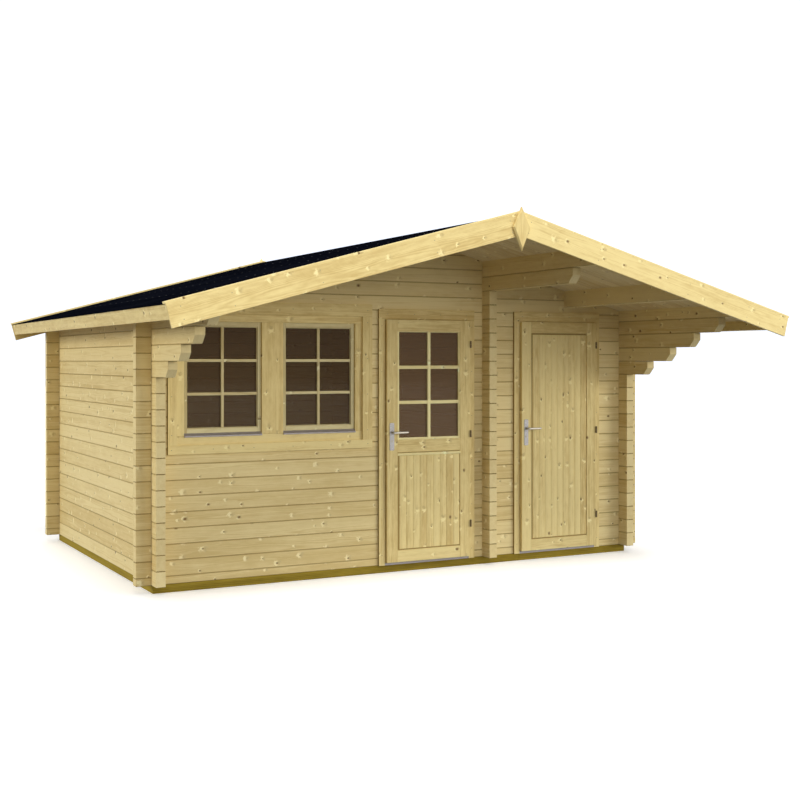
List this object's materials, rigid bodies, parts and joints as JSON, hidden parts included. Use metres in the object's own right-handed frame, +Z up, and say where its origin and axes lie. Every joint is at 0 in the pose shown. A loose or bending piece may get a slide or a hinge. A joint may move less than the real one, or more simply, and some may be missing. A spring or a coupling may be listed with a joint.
{
  "type": "log cabin with canopy",
  "caption": "Small garden log cabin with a main room and a side store, a low felted gable roof that runs forward as a canopy on stepped log corbels, a double window and outward-opening doors",
  "frame": {"origin": "centre of the bounding box on the ground", "axes": "+X to the right along the front wall as seen from outside, +Y from the front canopy to the back, +Z up"},
  "size_m": [4.9898, 4.814, 2.7093],
  "materials": {
    "log_wood": "planed spruce logs, unpainted",
    "trim_wood": "planed spruce boards, unpainted",
    "board_wood": "planed spruce boards, unpainted",
    "treated_wood": "sawn beams, pressure treated",
    "bitumen_felt": "black bitumen roofing felt",
    "clear_glass": "clear window glass",
    "bare_aluminium": "mill-finish aluminium strip",
    "handle_steel": "satin grey metal",
    "dark_hinge_metal": "dark coated steel"
  },
  "bodies": {
    "cabin": {"bargeboards": "trim_wood", "eave_fascias": "trim_wood", "finials": "trim_wood", "floor": "board_wood", "foundation_beams": "treated_wood", "front_corner_logs": "log_wood", "front_gable_logs": "log_wood", "front_middle_logs": "log_wood", "front_pier_logs": "log_wood", "front_right_logs": "log_wood", "front_under_window_logs": "log_wood", "left_wall_logs": "log_wood", "main_door_frame": "trim_wood", "main_door_hinge_sockets": "dark_hinge_metal", "main_door_threshold": "bare_aluminium", "partition_logs": "log_wood", "purlins": "log_wood", "rear_gable_logs": "log_wood", "rear_wall_logs": "log_wood", "right_wall_logs": "log_wood", "roof_boards": "board_wood", "roof_felt": "bitumen_felt", "store_door_frame": "trim_wood", "store_door_hinge_sockets": "dark_hinge_metal", "store_door_threshold": "bare_aluminium", "verge_cover_strips": "trim_wood", "window_casing": "trim_wood", "window_drip_strips": "bare_aluminium", "window_frame": "trim_wood", "window_panes": "clear_glass", "window_sashes": "trim_wood"},
    "main_door": {"main_door_leaf": "trim_wood", "main_door_panel": "trim_wood", "main_door_pane": "clear_glass", "main_door_hinges": "dark_hinge_metal", "main_door_plates": "handle_steel"},
    "main_lever": {"main_door_lever": "handle_steel"},
    "store_door": {"store_door_leaf": "trim_wood", "store_door_panel": "trim_wood", "store_door_hinges": "dark_hinge_metal", "store_door_plates": "handle_steel"},
    "store_lever": {"store_door_lever": "handle_steel"}
  },
  "joints": [
    {"name": "main_door_swing", "type": "hinge", "parent": "cabin", "child": "main_door", "pos_m": [0.506, -0.9, 1.032], "axis": [0, 0, 1], "range_deg": [0, 105]},
    {"name": "store_door_swing", "type": "hinge", "parent": "cabin", "child": "store_door", "pos_m": [1.763, -0.9, 1.032], "axis": [0, 0, 1], "range_deg": [0, 105]},
    {"name": "main_lever_turn", "type": "hinge", "parent": "main_door", "child": "main_lever", "pos_m": [-0.2095, -0.871, 1.098], "axis": [0, 1, 0], "range_deg": [0, 35], "stiffness_Nm_per_rad": 1.2, "springref_deg": -14.32},
    {"name": "store_lever_turn", "type": "hinge", "parent": "store_door", "child": "store_lever", "pos_m": [1.0475, -0.871, 1.098], "axis": [0, 1, 0], "range_deg": [0, 35], "stiffness_Nm_per_rad": 1.2, "springref_deg": -14.32}
  ]
}
